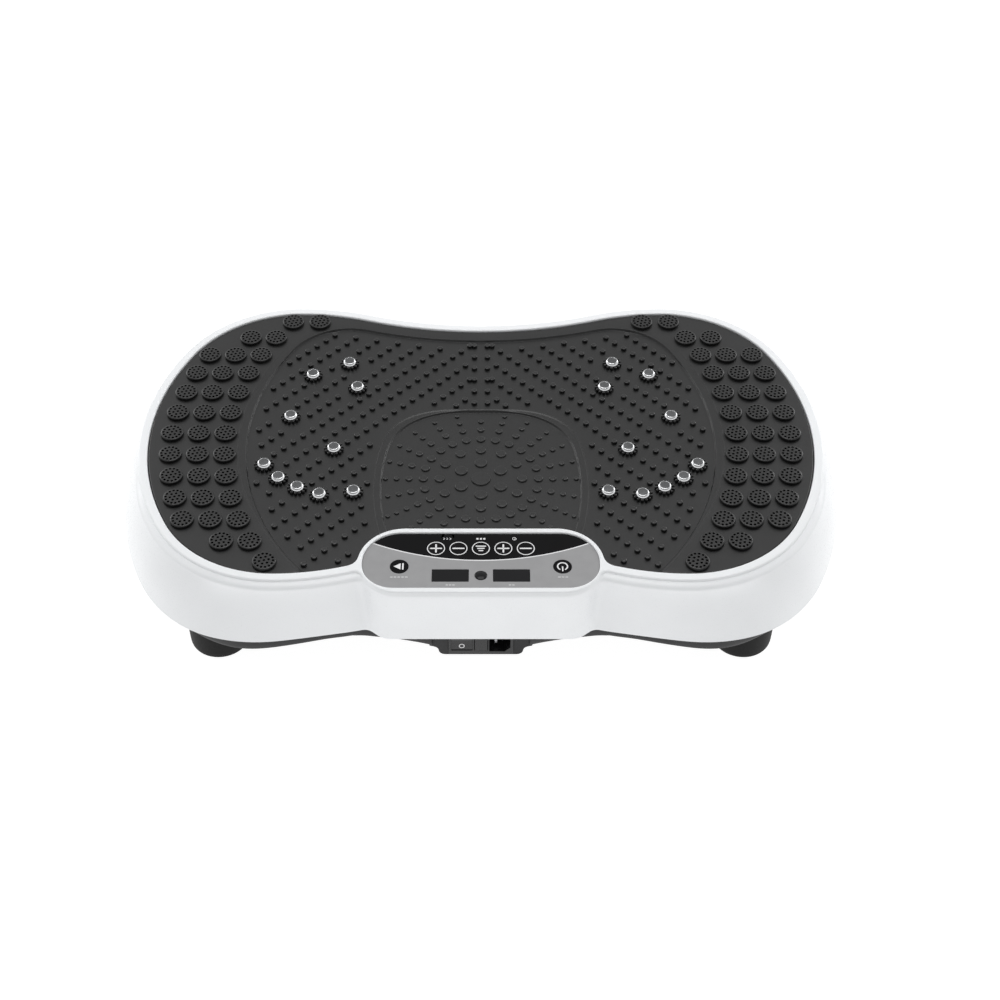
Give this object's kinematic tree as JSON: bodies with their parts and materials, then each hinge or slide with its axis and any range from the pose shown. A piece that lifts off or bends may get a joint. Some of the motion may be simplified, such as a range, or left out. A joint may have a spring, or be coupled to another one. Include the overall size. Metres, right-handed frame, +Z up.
{
  "type": "vibration plate",
  "caption": "Low waisted platform that rocks on a short base, with a studded rubber mat, a key panel at the front edge and a mains inlet below it.",
  "frame": {"origin": "centre of the footprint at floor level", "axes": "+Z up, +X along the long side, -Y towards the console and the mains inlet"},
  "size_m": [0.539, 0.3276, 0.1207],
  "materials": {
    "shell_white": "gloss white moulded ABS",
    "mat_rubber": "matte black moulded rubber",
    "chrome_stud": "bright plated",
    "panel_grey": "satin grey printed overlay",
    "gloss_black": "gloss black",
    "base_plastic": "fine textured dark grey",
    "foot_rubber": "soft matte black",
    "frame_steel": "black powder coat",
    "bright_steel": "ground and zinc plated",
    "deck_wood": "raw fibreboard",
    "bush_brass": "sintered bronze",
    "cast_grey": "as cast, painted",
    "board_green": "solder mask",
    "component_dark": "moulded component",
    "belt_rubber": "fabric backed rubber",
    "white_plastic": "natural nylon",
    "wire_sheath": "PVC insulation",
    "fuse_glass": "clear glass tube"
  },
  "bodies": {
    "base": {"base_tray": "base_plastic", "base_frame": "frame_steel", "foot_front_left": "foot_rubber", "foot_front_right": "foot_rubber", "foot_rear_left": "foot_rubber", "foot_rear_right": "foot_rubber", "foot_screws": "bright_steel", "pivot_blocks": "cast_grey", "pivot_pins": "bright_steel", "bearing_blocks": "cast_grey", "shaft_bearings": "bright_steel", "motor_can": "cast_grey", "motor_magnets": "component_dark", "motor_bracket": "frame_steel", "drive_belt": "belt_rubber", "inlet_module": "base_plastic", "inlet_pins": "bright_steel", "control_board": "board_green", "board_components": "component_dark", "board_standoffs": "white_plastic", "mains_wires": "wire_sheath", "motor_wires": "wire_sheath"},
    "platform": {"outer_shell": "shell_white", "deck_plate": "deck_wood", "rubber_mat": "mat_rubber", "magnet_studs": "chrome_stud", "platform_frame": "frame_steel", "deck_screws": "bright_steel", "pivot_bushes": "bush_brass", "console_panel": "panel_grey", "display_windows": "gloss_black", "receiver_window": "gloss_black", "console_board": "board_green", "display_modules": "component_dark", "tact_switches": "component_dark", "console_cable": "component_dark"},
    "shaft": {"cam_shaft": "bright_steel", "cams": "bright_steel", "follower_bearings": "bright_steel", "driven_pulley": "cast_grey"},
    "rotor": {"motor_rotor": "bright_steel", "motor_pulley": "bright_steel"},
    "rocker": {"rocker_switch": "gloss_black"},
    "fuse": {"fuse_drawer": "base_plastic", "fuse_cartridge": "fuse_glass"},
    "key_speed_up": {"key_speed_up": "gloss_black"},
    "key_speed_down": {"key_speed_down": "gloss_black"},
    "key_program": {"key_program": "gloss_black"},
    "key_time_up": {"key_time_up": "gloss_black"},
    "key_time_down": {"key_time_down": "gloss_black"},
    "key_start": {"key_start": "gloss_black"},
    "key_power": {"key_power": "gloss_black"}
  },
  "joints": [
    {"name": "platform_rock", "type": "hinge", "parent": "base", "child": "platform", "pos_m": [0, 0, 0.076], "axis": [0, 1, 0], "range_deg": [-1.2, 1.2]},
    {"name": "shaft_spin", "type": "hinge", "parent": "base", "child": "shaft", "pos_m": [0.095, 0, 0.076], "axis": [0, 1, 0], "continuous": true},
    {"name": "motor_spin", "type": "hinge", "parent": "base", "child": "rotor", "pos_m": [-0.08, 0, 0.076], "axis": [0, 1, 0], "continuous": true},
    {"name": "switch_rock", "type": "hinge", "parent": "base", "child": "rocker", "pos_m": [-0.0136, -0.143, 0.057], "axis": [1, 0, 0], "range_deg": [-16, 0]},
    {"name": "fuse_slide", "type": "slide", "parent": "base", "child": "fuse", "axis": [0, -1, 0], "range_m": [0, 0.02]},
    {"name": "press_speed_up", "type": "slide", "parent": "platform", "child": "key_speed_up", "axis": [0, 0, -1], "range_m": [0, 0.0005], "stiffness_N_per_m": 600},
    {"name": "press_speed_down", "type": "slide", "parent": "platform", "child": "key_speed_down", "axis": [0, 0, -1], "range_m": [0, 0.0005], "stiffness_N_per_m": 600},
    {"name": "press_program", "type": "slide", "parent": "platform", "child": "key_program", "axis": [0, 0, -1], "range_m": [0, 0.0005], "stiffness_N_per_m": 600},
    {"name": "press_time_up", "type": "slide", "parent": "platform", "child": "key_time_up", "axis": [0, 0, -1], "range_m": [0, 0.0005], "stiffness_N_per_m": 600},
    {"name": "press_time_down", "type": "slide", "parent": "platform", "child": "key_time_down", "axis": [0, 0, -1], "range_m": [0, 0.0005], "stiffness_N_per_m": 600},
    {"name": "press_start", "type": "slide", "parent": "platform", "child": "key_start", "axis": [0, 0, -1], "range_m": [0, 0.0005], "stiffness_N_per_m": 600},
    {"name": "press_power", "type": "slide", "parent": "platform", "child": "key_power", "axis": [0, 0, -1], "range_m": [0, 0.0005], "stiffness_N_per_m": 600}
  ],
  "couplings": [
    {"joint": "motor_spin", "follows": "shaft_spin", "ratio": 2}
  ]
}
